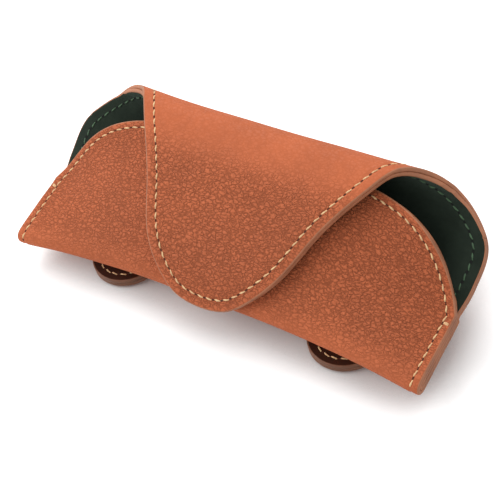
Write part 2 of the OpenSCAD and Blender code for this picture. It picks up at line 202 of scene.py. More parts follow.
def below_flap(from_tip, depth=SHEET_T + FLAP_GAP):
    s = flap_path.length - from_tip
    return flap_path(s) + depth * left_of(flap_path.heading(s))


front_foot = below_flap(FOOT_FROM_TIP, SHEET_T + TIP_GAP)
front_out = -left_of(flap_path.heading(flap_path.length - FOOT_FROM_TIP))
fold_z = BACK_H + FOLD_LIFT + FOLD_R
fold_y = front_foot[0] - (FOLD_R + front_out[1] * (fold_z - front_foot[1])) / front_out[0]
fold_c = np.array([fold_y, fold_z])
front_angle = math.degrees(math.atan2(front_out[1], front_out[0]))
fold_turn = (225 - front_angle) / 3
mid_front = Path(spline([on_arc(fold_c, FOLD_R, 225 - i * fold_turn) for i in range(4)]
                        + [front_foot, below_flap(32), below_flap(46), below_flap(64)]))
mid_back = Path(spline([on_arc(fold_c, FOLD_R, a) for a in (225, 240, 255, 270)] + [
    section(0.40, 0), section(0.64, 0.008), section(0.835, 0.137), section(0.963, 0.40),
    arch_c + [ARCH_R, -2.7], arch_c + [ARCH_R, 0]]))
seam_r = SHEET_T + GLUE_T
seam_dir = on_arc(0, 1, SEAM_TILT)
seam_out = left_of(seam_dir)
seam_c = section(0.054, 0) + [0, SEAM_LIFT]
# The seam's length counts the quarter turn round the fold.
seam_end = seam_c + (SEAM_L - 1.57 * seam_r) * seam_dir
end_front = Path(spline([on_arc(seam_c, seam_r, 180 + SEAM_TILT - 30 * i) for i in range(4)] + [
    seam_c + SEAM_STRAIGHT * seam_dir + seam_r * seam_out, seam_end + seam_r * seam_out,
    section(0.589, 0.435), section(0.689, 0.669), section(0.74, 0.806)]))
end_back = Path(spline([on_arc(seam_c, seam_r, 180 + SEAM_TILT + 30 * i) for i in range(4)] + [
    seam_c + SEAM_STRAIGHT * seam_dir - seam_r * seam_out, seam_end - seam_r * seam_out,
    section(0.651, 0.237), section(0.853, 0.433), section(0.978, 0.637), arch_c + [ARCH_R, 0]]))
back_l = mid_back.length
front_scale = end_front.length / mid_front.length
back_scale = end_back.length / back_l


def give(x, s):
    """The small waves of soft leather, away from the seams."""
    calm = np.clip(1 - (np.abs(x) / half_l) ** 4, 0, 1)
    wave = np.sin(x / 13 + 0.6) * np.sin(s / 11) + 0.6 * np.sin(x / 7.3 - s / 17 + 1.9)
    return WAVE_H * calm * wave


def outside(x, s):
    """The outer face of the hide at flat places, in the section's own millimetres."""
    x, s = np.broadcast_arrays(np.asarray(x, float), np.asarray(s, float))
    q = np.minimum(1, np.abs(x) / (half_l * FLAT_FROM))
    k = (1 - (1 - q ** 3.1) ** 1.3)[..., None]
    on_back = np.clip(s, 0, back_l)
    back = (1 - k) * mid_back(on_back) + k * end_back(on_back * back_scale)
    front = (1 - k) * mid_front(np.maximum(-s, 0)) + k * end_front(np.maximum(-s, 0) * front_scale)
    flap = flap_path(np.maximum(s - back_l, 0))
    p = np.where((s > back_l)[..., None], flap, np.where((s > 0)[..., None], back, front)).copy()
    flare = (np.minimum(np.abs(x), RIDGE_HALF_W + DIP_PAST) / RIDGE_HALF_W) ** 2
    p[..., 1] += RIDGE_DIP * flare * np.exp(-(((s - back_l - RIDGE_REACH) / DIP_SPREAD) ** 2))
    return np.concatenate([x[..., None], p], -1)


def outward(x, s, reach=0.45):
    along = outside(x, s + reach) - outside(x, s - reach)
    across = outside(x + reach, s) - outside(x - reach, s)
    return unit(np.cross(along, across))


def on_hide(q, depth):
    """Places at a depth below the hide's outer face."""
    x, s = q[:, 0], q[:, 1]
    return outside(x, s) - (depth - give(x, s))[:, None] * outward(x, s)


def to_frame(p):
    return (p - [0, footprint_y, 0]) * MM


# ---------------------------------------------------------------- flat patterns

side_points = [[half_l, SEAM_L], [half_l - 0.7, SEAM_L + 0.8], [WING_HALF_W, SEAM_L + 12],
               [WING_HALF_W - 1.1, SEAM_L + 27], [1.25 * RIDGE_HALF_W, back_l - 0.5],
               [RIDGE_HALF_W, back_l + 9.5], [0.81 * RIDGE_HALF_W, back_l + 25],
               [0.652 * RIDGE_HALF_W, back_l + 40], [POINT_HALF_W, FLAP_REACH - 18],
               [0.69 * POINT_HALF_W, FLAP_REACH - 7.5], [0.4 * POINT_HALF_W, FLAP_REACH - 1.8]]
tip_round = [[-x, s] for x, s in side_points[:-4:-1]]
right_edge = spline(side_points[1:] + [[0, FLAP_REACH]] + tip_round)
right_edge = right_edge[:len(right_edge) - SPLINE_STEPS * len(tip_round)]
join_s = back_l - JOIN_BELOW_BEND
row_corner = SEAM_L - 3.2


def edge_between(low, high):
    """The right cut edge of back and flap between two reaches."""
    reach = right_edge[:, 1]
    inner = right_edge[(reach > low) & (reach < high)]
    ends = [[np.interp(v, reach, right_edge[:, 0]), v] for v in (low, high)]
    return np.vstack([ends[0], inner, ends[1]])


def mirrored(line):
    return line[::-1] * [-1, 1]


mouth_x = half_l * np.sin(np.linspace(-math.pi / 2, math.pi / 2, 241))
mouth = np.stack([mouth_x, -(SEAM_L + (FRONT_L - SEAM_L) * (1 - np.abs(mouth_x / half_l) ** 6.6))], -1)
right_wing = np.vstack([[half_l, SEAM_L], edge_between(SEAM_L + 0.8, join_s)])
right_side = np.array([[half_l, -SEAM_L], [half_l, SEAM_L]])
pocket_cut = np.vstack([mirrored(right_wing), mirrored(right_side)[1:], mouth[1:-1],
                        right_side, right_wing[1:]])
flap_side = edge_between(join_s, FLAP_REACH)
flap_cut = np.vstack([flap_side, mirrored(flap_side)[1:]])
whole_cut = np.vstack([pocket_cut, flap_cut[1:]])
RINGS = (0.08, 0.24, 0.5, 1.2, 2.0, 2.5, 2.9, 3.3, 3.7, 4.0, 4.3, 4.9, 6)


def inset(line, d):
    return line + d * left_of(unit(np.gradient(line, axis=0)))


def distance(points, line):
    """How far each flat place is from a line."""
    a, ab = line[:-1], np.diff(line, axis=0)
    size = (ab ** 2).sum(1)
    out = []
    for i in range(0, len(points), CHUNK):
        ap = points[i:i + CHUNK, None] - a
        f = np.clip((ap * ab).sum(-1) / size, 0, 1)
        out.append(np.linalg.norm(ap - f[..., None] * ab, axis=-1).min(1))
    return np.concatenate(out)


def within(points, outline):
    """Which flat places lie inside a closed outline."""
    a, b = outline, np.roll(outline, -1, axis=0)
    out = []
    for i in range(0, len(points), CHUNK):
        x, y = points[i:i + CHUNK, 0, None], points[i:i + CHUNK, 1, None]
        crosses = (a[:, 1] > y) != (b[:, 1] > y)
        with np.errstate(divide="ignore", invalid="ignore"):
            at_x = a[:, 0] + (y - a[:, 1]) * (b[:, 0] - a[:, 0]) / (b[:, 1] - a[:, 1])
        out.append((crosses & (x < at_x)).sum(1) % 2 == 1)
    return np.concatenate(out)


class Pattern:
    """A flat piece cut out by a line, closed by a straight join, and filled with a fine net.

    edge is the line that rim distances are taken from, where it is more than the piece's own cut."""

    def __init__(self, cut, spacing=1.9, pitch=1.1, rings=RINGS, edge=None):
        cut = resampled(cut, pitch)
        join = resampled(np.array([cut[-1], cut[0]]), 0.4 * pitch)
        outline = np.vstack([cut, join[1:-1]])
        points = [outline]
        for d in rings:
            ring = inset(cut, d)
            ring = ring[within(ring, outline)]
            ring = ring[(distance(ring, cut) > CLEAR_SHARE * d) & (distance(ring, join) > 0.2)]
            points.append(ring)
        low, high = outline.min(0), outline.max(0)
        columns = np.arange(low[0], high[0], spacing)
        lines = np.arange(low[1], high[1], spacing * 0.87)
        net = np.array([[x + spacing / 2 * (i % 2), y] for i, y in enumerate(lines) for x in columns])
        net = net[within(net, outline)]
        net = net[(distance(net, cut) > rings[-1] + 0.6 * spacing) & (distance(net, join) > 0.6 * spacing)]
        points.append(net)
        n = len(outline)
        verts, _, faces, ids, _, _ = delaunay_2d_cdt(
            [Vector(p) for p in np.vstack(points)], [(i, (i + 1) % n) for i in range(n)], [], 1, 1e-5, True)
        place_of = {k: i for i, group in enumerate(ids) for k in group}
        self.flat = np.array([v[:] for v in verts])
        faces = np.array(faces)
        self.faces = faces[within(self.flat[faces].mean(1), outline)]
        self.loop = np.array([place_of[i] for i in range(n)])
        self.rim = distance(self.flat, cut if edge is None else edge)
        self.seam = distance(self.flat, join)
        self.cut = cut


def rounding(rim, radius):
    """How much a face falls away towards a rounded cut edge."""
    q = np.clip(1 - rim / radius, 0, 1)
    return radius * (1 - np.sqrt(1 - q * q))


def smooth(v, low, high):
    t = np.clip((v - low) / (high - low), 0, 1)
    return t * t * (3 - 2 * t)


def pulled_smooth(s):
    """How much the hide is stretched smooth: over the ridge, and a little round the bottom fold."""
    ridge = np.exp(-(((s - back_l - RIDGE_REACH) / 15) ** 4))
    return np.clip(ridge + 0.85 * np.exp(-((s / 9) ** 2)), 0, 1)


def new_mesh(name, verts, faces, materials, kinds=None):
    mesh = bpy.data.meshes.new(name)
    mesh.from_pydata(verts.tolist(), [], [list(map(int, f)) for f in faces])
    for m in materials:
        mesh.materials.append(m)
    if kinds is not None:
        mesh.polygons.foreach_set("material_index", np.asarray(kinds, np.int32))
    mesh.polygons.foreach_set("use_smooth", np.ones(len(mesh.polygons), bool))
    mesh.update()
    piece = bpy.data.objects.new(name, mesh)
    bpy.context.scene.collection.objects.link(piece)
    return piece


def add_attribute(piece, name, kind, values):
    attribute = piece.data.attributes.new(name, kind, "POINT")
    field = "vector" if kind == "FLOAT_VECTOR" else "value"
    attribute.data.foreach_set(field, np.asarray(values, np.float32).ravel())


def laid_sheet(name, pattern, place, top, bottom, materials, radius=0.5, painted=0.62):
    """A sheet with thickness: the pattern at two depths, closed round its outline.

    materials are those of the outer face, the inner face and the cut edge."""
    n = len(pattern.flat)
    upper = top + rounding(pattern.rim, radius)
    lower = bottom - rounding(pattern.rim, radius)
    verts = to_frame(np.vstack([place(pattern.flat, upper), place(pattern.flat, lower)]))
    ring, following = pattern.loop, np.roll(pattern.loop, -1)
    band = np.stack([ring, following, following + n, ring + n], -1)
    faces = [*pattern.faces[:, ::-1], *(pattern.faces + n), *band]
    at_edge = pattern.rim[pattern.faces].mean(1) < painted
    kinds = [*np.where(at_edge, 2, 0), *np.where(at_edge, 2, 1), *np.full(len(band), 2)]
    piece = new_mesh(name, verts, faces, materials, kinds)
    flat = np.column_stack([pattern.flat, np.zeros(n)]) * MM
    add_attribute(piece, "flat", "FLOAT_VECTOR", np.vstack([flat, flat]))
    add_attribute(piece, "rim", "FLOAT", np.tile(np.minimum(pattern.rim, 20), 2))
    add_attribute(piece, "taut", "FLOAT", np.tile(pulled_smooth(pattern.flat[:, 1]), 2))
    return piece


# How far from a join the shading is evened, and how far from the rim that starts on hide and lining.
EVEN_BAND = 2.5
HIDE_EVEN_FROM = 6.5
LINING_EVEN_FROM = 1.0


def even_normals(piece, pattern, from_rim):
    """Shades the rows beside a join as the hide runs on, so that two pieces read as one."""
    mesh = piece.data
    normals = np.zeros(len(mesh.vertices) * 3)
    mesh.vertices.foreach_get("normal", normals)
    normals = normals.reshape(-1, 3)
    n = len(pattern.flat)
    near = np.flatnonzero((pattern.seam < EVEN_BAND) & (pattern.rim > from_rim))
    out = outward(pattern.flat[near, 0], pattern.flat[near, 1])
    normals[near] = out
    normals[near + n] = -out
    mesh.normals_split_custom_set_from_vertices(normals.tolist())


# ---------------------------------------------------------------- stitching

STITCH_SIDES = 8
STITCH_RINGS = 9
# Shares of the pitch, and millimetres for the slant, the holes and the thread's rise.
STITCH_START = 0.13
STITCH_SHARE = 0.74
STITCH_SLANT = 0.22
THREAD_RISE = 0.1
HOLE_LONG = 0.6
HOLE_WIDE = 0.36
HOLE_RIM = 0.08
HOLE_FLOOR = 0.02
# The two plies: how deep the valley between them is, and how far they turn along one stitch.
PLY_DEPTH = 0.2
PLY_TURN = 5.2
PRESSED_WIDE = 1.12
PRESSED_HIGH = 0.86


def sewn_row(name, rows, place, settings, materials, face=1, dip=0.2, pick=None):
    """Two-ply stitches and their awl holes along rows of flat places, on one face of a sheet.

    place(q, height) gives where a flat place lies at a height above that face."""
    verts, faces, kinds = [], [], []
    t = np.linspace(0, 1, STITCH_RINGS)
    angles = np.arange(STITCH_SIDES) * 2 * math.pi / STITCH_SIDES
    radius = settings.thread_radius / MM
    pitch = settings.stitch_pitch / MM
    count = 0
    for row in rows:
        surface = place(row, np.zeros(len(row)))
        run = np.r_[0, np.cumsum(np.linalg.norm(np.diff(surface, axis=0), axis=1))]
        total = max(1, round(run[-1] / pitch))
        step = run[-1] / total

        def at(length):
            return np.stack([np.interp(length, run, row[:, 0]), np.interp(length, run, row[:, 1])], -1)

        for k in range(total):
            line = at(step * (k + STITCH_START + STITCH_SHARE * t))
            if pick is not None and not pick(line[STITCH_RINGS // 2]):
                continue
            side = left_of(unit(line[-1:] - line[:1]))[0]
            line = line + np.outer(STITCH_SLANT * (t - 0.5) * 2, side)
            bow = np.sin(math.pi * t)
            centre = place(line, (radius + THREAD_RISE) * bow ** 0.6 - dip)
            up = unit(place(line, np.full(len(t), 1.0)) - place(line, np.zeros(len(t))))
            heading = unit(np.gradient(centre, axis=0))
            across = unit(np.cross(heading, up))
            lift = np.cross(across, heading)
            turn = angles + 0 * t[:, None]
            ply = 1 + PLY_DEPTH * np.cos(2 * (turn - PLY_TURN * t[:, None]))
            girth = radius * (0.55 + 0.45 * bow ** 0.5)[:, None] * ply
            tube = (centre[:, None] + (girth * np.cos(turn))[..., None] * across[:, None] * PRESSED_WIDE
                    + (girth * np.sin(turn))[..., None] * lift[:, None] * PRESSED_HIGH)
            base = count
            verts.append(tube.reshape(-1, 3))
            count += STITCH_RINGS * STITCH_SIDES
            for i in range(STITCH_RINGS - 1):
                for j in range(STITCH_SIDES):
                    a, b = base + i * STITCH_SIDES + j, base + i * STITCH_SIDES + (j + 1) % STITCH_SIDES
                    faces.append([a, b, b + STITCH_SIDES, a + STITCH_SIDES])
                    kinds.append(0)
            faces.append([base + j for j in reversed(range(STITCH_SIDES))])
            faces.append([base + (STITCH_RINGS - 1) * STITCH_SIDES + j for j in range(STITCH_SIDES)])
            kinds += [0, 0]
            # Each awl hole is a shallow dish whose dark finish is painted shade, standing for the shadow
            # inside the hole.
            hole = at(np.array([step * k]))
            heading = unit(at(np.array([step * k + 0.3])) - hole)[0]
            ring = (hole + np.outer(np.cos(angles) * HOLE_LONG, heading)
                    + np.outer(np.sin(angles) * HOLE_WIDE, left_of(heading)))
            verts.append(place(ring, np.full(len(ring), HOLE_RIM)))
            verts.append(place(hole, np.array([HOLE_FLOOR])))
            for j in range(STITCH_SIDES):
                a, b = count + j, count + (j + 1) % STITCH_SIDES
                faces.append([a, b, count + STITCH_SIDES][::face])
                kinds.append(1)
            count += STITCH_SIDES + 1
    return new_mesh(name, to_frame(np.vstack(verts)), faces, materials, kinds)


# ---------------------------------------------------------------- finishes


class Nodes:
    """Short ways to place and link the nodes of a tree."""

    def __init__(self, tree):
        self.tree = tree

    def add(self, kind, **values):
        node = self.tree.nodes.new(kind)
        for key, value in values.items():
            setattr(node, key, value)
        return node

    def link(self, source, target):
        self.tree.links.new(source, target)

    def feed(self, socket, value):
        if isinstance(value, bpy.types.NodeSocket):
            self.link(value, socket)
        else:
            socket.default_value = value

    def math(self, operation, a, b=0.0):
        node = self.add("ShaderNodeMath", operation=operation)
        self.feed(node.inputs[0], a)
        self.feed(node.inputs[1], b)
        return node.outputs[0]

    def ramp(self, value, low, high, start=0.0, end=1.0):
        node = self.add("ShaderNodeMapRange", interpolation_type="SMOOTHSTEP")
        for socket, v in zip(node.inputs, (value, low, high, start, end)):
            self.feed(socket, v)
        return node.outputs[0]

    def mix(self, factor, a, b, blend="MIX"):
        node = self.add("ShaderNodeMix", data_type="RGBA", blend_type=blend)
        for key, v in (("Factor_Float", factor), ("A_Color", a), ("B_Color", b)):
            self.feed(next(s for s in node.inputs if s.identifier == key), v)
        return next(s for s in node.outputs if s.identifier == "Result_Color")

    def noise(self, vector, scale, detail=2.0):
        node = self.add("ShaderNodeTexNoise")
        self.feed(node.inputs["Vector"], vector)
        self.feed(node.inputs["Scale"], scale)
        self.feed(node.inputs["Detail"], detail)
        return node

    def cells(self, vector, scale, feature="DISTANCE_TO_EDGE"):
        node = self.add("ShaderNodeTexVoronoi", feature=feature)
        self.feed(node.inputs["Vector"], vector)
        self.feed(node.inputs["Scale"], scale)
        return node.outputs["Distance"]


def effect(name, inputs, outputs, build):
    """A shader node group with named inputs and outputs, built once."""
    group = bpy.data.node_groups.get(name)
    if group:
        return group
    group = bpy.data.node_groups.new(name, "ShaderNodeTree")
    for label, kind, default in inputs:
        socket = group.interface.new_socket(label, in_out="INPUT", socket_type=kind)
        if default is not None:
            socket.default_value = default
    for label, kind in outputs:
        group.interface.new_socket(label, in_out="OUTPUT", socket_type=kind)
    nodes = Nodes(group)
    ends = nodes.add("NodeGroupInput"), nodes.add("NodeGroupOutput")
    build(nodes, ends[0].outputs, ends[1].inputs)
    return group


def pebble_grain():
    """Domed cells, longer along the case, with narrow creases between them as on milled hide."""

    def build(n, given, out):
        longer = n.add("ShaderNodeVectorMath", operation="MULTIPLY")
        n.link(given["Place"], longer.inputs[0])
        longer.inputs[1].default_value = (0.8, 1.25, 1)
        warp = n.noise(longer.outputs[0], 480.0, 2.0)
        shift = n.add("ShaderNodeVectorMath", operation="MULTIPLY_ADD")
        n.link(warp.outputs["Color"], shift.inputs[0])
        shift.inputs[1].default_value = (0.0022, 0.0022, 0.0022)
        n.link(longer.outputs[0], shift.inputs[2])
        place = shift.outputs[0]
        reach = n.cells(place, given["Cells"], "F1")
        dome = n.math("SUBTRACT", 1.0, n.math("MULTIPLY", n.math("MULTIPLY", reach, reach), 1.3))
        big = n.math("MULTIPLY", dome, n.ramp(n.cells(place, given["Cells"]), -0.05, 0.3))
        fine = n.ramp(n.cells(place, n.math("MULTIPLY", given["Cells"], 1.9)), -0.03, 0.3)
        dust = n.noise(place, n.math("MULTIPLY", given["Cells"], 7.0), 2.0).outputs["Fac"]
        folds = n.ramp(n.noise(place, 95.0, 3.0).outputs["Fac"], 0.35, 0.7)
        share = n.math("ADD", n.math("MULTIPLY", big, 0.66), n.math("MULTIPLY", fine, 0.26))
        grained = n.math("ADD", share, n.math("MULTIPLY", dust, 0.08))
        n.link(n.math("ADD", grained, n.math("MULTIPLY", folds, 0.22)), out["Height"])
        filled = n.math("MULTIPLY", n.math("ADD", big, n.math("MULTIPLY", fine, 0.4)), 0.71)
        n.link(n.math("SUBTRACT", 1.0, filled), out["Crease"])

    return effect("pebble_grain", [("Place", "NodeSocketVector", None), ("Cells", "NodeSocketFloat", 480.0)],
                  [("Height", "NodeSocketFloat"), ("Crease", "NodeSocketFloat")], build)


def uneven_tone():
    """Slow drift of colour, as dyed hide and cloth have."""

    def build(n, given, out):
        wide = n.noise(given["Place"], given["Patches"], 3.0).outputs["Fac"]
        tight = n.noise(given["Place"], n.math("MULTIPLY", given["Patches"], 9.0), 2.0).outputs["Fac"]
        drift = n.math("ADD", n.math("MULTIPLY", wide, 0.7), n.math("MULTIPLY", tight, 0.3))
        mask = n.ramp(drift, 0.32, 0.68)
        n.link(n.mix(mask, given["Dark"], given["Light"]), out["Color"])
        n.link(mask, out["Mask"])

    return effect("uneven_tone", [("Place", "NodeSocketVector", None), ("Patches", "NodeSocketFloat", 40.0),
                                  ("Dark", "NodeSocketColor", None), ("Light", "NodeSocketColor", None)],
                  [("Color", "NodeSocketColor"), ("Mask", "NodeSocketFloat")], build)


def short_nap():
    """Fine standing fibres, brushed one way and another."""

    def build(n, given, out):
        hair = n.noise(given["Place"], 5200.0, 3.0).outputs["Fac"]
        stroke = n.noise(given["Place"], 130.0, 4.0).outputs["Fac"]
        n.link(n.math("ADD", n.math("MULTIPLY", hair, 0.7), n.math("MULTIPLY", stroke, 0.6)), out["Height"])
        n.link(n.ramp(stroke, 0.38, 0.62), out["Brushed"])

    return effect("short_nap", [("Place", "NodeSocketVector", None)],
                  [("Height", "NodeSocketFloat"), ("Brushed", "NodeSocketFloat")], build)


def finish(name, build):
    """A material with its own surface shader; build feeds it and may return a bump height and its depth."""
    material = bpy.data.materials.new(name)
    material.use_nodes = True
    nodes = Nodes(material.node_tree)
    shader = material.node_tree.nodes["Principled BSDF"]
    bump = build(nodes, shader.inputs)
    if bump:
        height, depth = bump
        node = nodes.add("ShaderNodeBump")
        node.inputs["Strength"].default_value = 1.0
        node.inputs["Distance"].default_value = depth
        nodes.link(height, node.inputs["Height"])
        nodes.link(node.outputs["Normal"], shader.inputs["Normal"])
    return material


def flat_place(n):
    return n.add("ShaderNodeAttribute", attribute_name="flat").outputs["Vector"]


def object_place(n):
    return n.add("ShaderNodeTexCoord").outputs["Object"]


def toned(n, place, patches, dark, light):
    node = n.add("ShaderNodeGroup", node_tree=uneven_tone())
    n.link(place, node.inputs["Place"])
    node.inputs["Patches"].default_value = patches
    node.inputs["Dark"].default_value = dark
    node.inputs["Light"].default_value = light
    return node.outputs["Color"], node.outputs["Mask"]


def shade(colour, factor):
    return (*(min(1.0, c * factor) for c in colour[:3]), 1.0)


def hide_finish(name, colour, cell_size, depth, low_rough=0.5):
    def build(n, shader):
        place = flat_place(n)
        grain = n.add("ShaderNodeGroup", node_tree=pebble_grain())
        n.link(place, grain.inputs["Place"])
        grain.inputs["Cells"].default_value = 1 / cell_size
        base, mask = toned(n, place, 32.0, shade(colour, 0.9), shade(colour, 1.1))
        taut = n.add("ShaderNodeAttribute", attribute_name="taut").outputs["Fac"]
        slack = n.math("SUBTRACT", 1.0, n.math("MULTIPLY", taut, 0.85))
        # The creases between the pebbles are darkened in colour: painted shade in the grain's hollows, weaker
        # where the hide is pulled smooth.
        dark = n.math("MULTIPLY", n.ramp(grain.outputs["Crease"], 0.45, 0.95, 0.0, 0.78), slack)
        painted_crease_shade = n.mix(dark, base, shade(colour, 0.45))
        rim = n.add("ShaderNodeAttribute", attribute_name="rim").outputs["Fac"]
        # The hide's colour is darkened within about a millimetre of the cut edge.
        darker_near_rim = n.mix(n.ramp(rim, 1.2, 0.3, 0.0, 0.3), painted_crease_shade, shade(colour, 0.75))
        n.link(darker_near_rim, shader["Base Color"])
        rough = n.math("ADD", n.ramp(grain.outputs["Crease"], 0.2, 0.9, low_rough, low_rough + 0.25),
                       n.math("MULTIPLY", mask, 0.06))
        n.link(rough, shader["Roughness"])
        shader["Specular IOR Level"].default_value = 0.18
        shader["Coat Weight"].default_value = 0.01
        shader["Coat Roughness"].default_value = 0.3
        # Dense grain lies flatter beside the cut edge, where the hide is pressed.
        calm = n.ramp(rim, 0.4, 3.2, 0.25, 1.0)
        return n.math("MULTIPLY", n.math("MULTIPLY", grain.outputs["Height"], calm), slack), depth

    return finish(name, build)


def edge_finish(name, colour):
    def build(n, shader):
        place = object_place(n)
        base, mask = toned(n, place, 150.0, shade(colour, 0.82), shade(colour, 1.14))
        n.link(base, shader["Base Color"])
        n.link(n.ramp(mask, 0.0, 1.0, 0.36, 0.52), shader["Roughness"])
        shader["Specular IOR Level"].default_value = 0.45
        return n.noise(place, 900.0, 3.0).outputs["Fac"], 0.00012

    return finish(name, build)


def suede_finish(name, colour):
    def build(n, shader):
        place = flat_place(n)
        nap = n.add("ShaderNodeGroup", node_tree=short_nap())
        n.link(place, nap.inputs["Place"])
        base, _ = toned(n, place, 60.0, shade(colour, 0.75), shade(colour, 1.2))
        brushed = n.math("MULTIPLY", nap.outputs["Brushed"], 0.5)
        n.link(n.mix(brushed, base, shade(colour, 1.9)), shader["Base Color"])
        shader["Roughness"].default_value = 0.95
        shader["Specular IOR Level"].default_value = 0.15
        shader["Sheen Weight"].default_value = 0.25
        shader["Sheen Roughness"].default_value = 0.6
        shader["Sheen Tint"].default_value = (0.55, 0.75, 0.6, 1)
        return nap.outputs["Height"], 0.00022

    return finish(name, build)


def thread_finish(name, colour):
    def build(n, shader):
        place = object_place(n)
        base, _ = toned(n, place, 300.0, shade(colour, 0.8), shade(colour, 1.15))
        n.link(base, shader["Base Color"])
        shader["Roughness"].default_value = 0.55
        shader["Sheen Weight"].default_value = 0.15
        return n.noise(place, 6000.0, 2.0).outputs["Fac"], 0.00004

    return finish(name, build)


def plain_finish(name, colour, roughness, metal=0.0, grit=2500.0, depth=0.00003):
    def build(n, shader):
        place = object_place(n)
        base, mask = toned(n, place, 120.0, shade(colour, 0.8), shade(colour, 1.1))
        n.link(base, shader["Base Color"])
        n.link(n.ramp(mask, 0.0, 1.0, roughness, roughness + 0.14), shader["Roughness"])
        shader["Metallic"].default_value = metal
        return n.noise(place, grit, 2.0).outputs["Fac"], depth

    return finish(name, build)


# ---------------------------------------------------------------- what a user may set


def from_srgb(*levels):
    """A colour from 0 to 255 levels, in the linear scale that the shaders use."""
    return tuple(((v / 255 + 0.055) / 1.055) ** 2.4 if v > 10 else v / 255 / 12.92 for v in levels)


def colour_prop(name, text, *levels):
    return FloatVectorProperty(name=name, description=text, subtype="COLOR", size=3, min=0, max=1,
                               default=from_srgb(*levels))


def length_prop(name, text, millimetres):
    return FloatProperty(name=name, description=text, default=millimetres * MM, min=0,
                         unit="LENGTH", precision=5)


class CaseLeatherSettings(bpy.types.PropertyGroup):
    hide: colour_prop("Hide", "Colour of the grained outer leather", 207, 112, 72)
    # The belt loops' upper face is a dark brown that holds both the leather's own colour and painted shade
    # from the case overhanging it.
    strap: colour_prop("Strap lining", "Colour of the belt loops' inner leather", 66, 33, 20)
    edge: colour_prop("Edge paint", "Colour of the painted cut edges", 184, 120, 86)
    raw_edge: colour_prop("Raw edge", "Colour of the belt loops' unpainted edges", 128, 84, 60)
    suede: colour_prop("Suede", "Colour of the lining", 27, 35, 27)
    grain_size: length_prop("Grain size", "Width of one pebble of the hide's grain", 1.45)
    grain_depth: length_prop("Grain depth", "Depth of the creases between the pebbles", 0.55)
    edge_round: length_prop("Edge rounding", "Radius of the cut edges", 0.55)


class CaseStitchSettings(bpy.types.PropertyGroup):
    thread: colour_prop("Thread", "Colour of the thread on the hide", 255, 204, 150)
    lining_thread: colour_prop("Lining thread", "Colour of the thread on the suede", 66, 98, 66)
    stitch_pitch: length_prop("Stitch pitch", "Distance from one awl hole to the next", 3.5)
    thread_radius: length_prop("Thread radius", "Half of the thread's thickness", 0.26)
    row_inset: length_prop("Row inset", "Distance from the cut edge to the row of back and flap", 4.0)
    front_inset: length_prop(
        "Front row inset", "Distance from the cut edge to the row of mouth and side seams", 2.9)
    groove: length_prop("Groove", "How deep the row is pressed into the hide", 0.22)


class CaseStageSettings(bpy.types.PropertyGroup):
    azimuth: FloatProperty(name="Azimuth", description="Camera's turn about the case", subtype="ANGLE",
                           default=math.radians(44.95))
    elevation: FloatProperty(name="Elevation", description="Camera's height angle", subtype="ANGLE",
                             default=math.radians(48.43))
    roll: FloatProperty(name="Roll", description="Camera's turn about its own line of sight", subtype="ANGLE",
                        default=math.radians(-17.39))
    distance: length_prop("Distance", "From the camera to the point it looks at", 479.24)
    lens: FloatProperty(name="Lens", description="Focal length for a 36 mm sensor, in millimetres",
                        default=94.99)
    key: FloatProperty(name="Key light", description="Power of the lamp above and behind", unit="POWER",
                       default=3.0)
    fill: FloatProperty(name="Fill light", description="Power of the large lamp in front", unit="POWER",
                        default=4.2)
    world: FloatProperty(name="World light", description="Strength of the even light all round", default=0.55)


finishes = {}
patterns = {}

# The point that the camera looks at, in millimetres from the bottom fold.
TARGET_X = -7.35
TARGET_Y = 38.73
TARGET_Z = -1.7
FLOOR_HALF = 6.0
FLOOR_DROP = 0.05 * MM


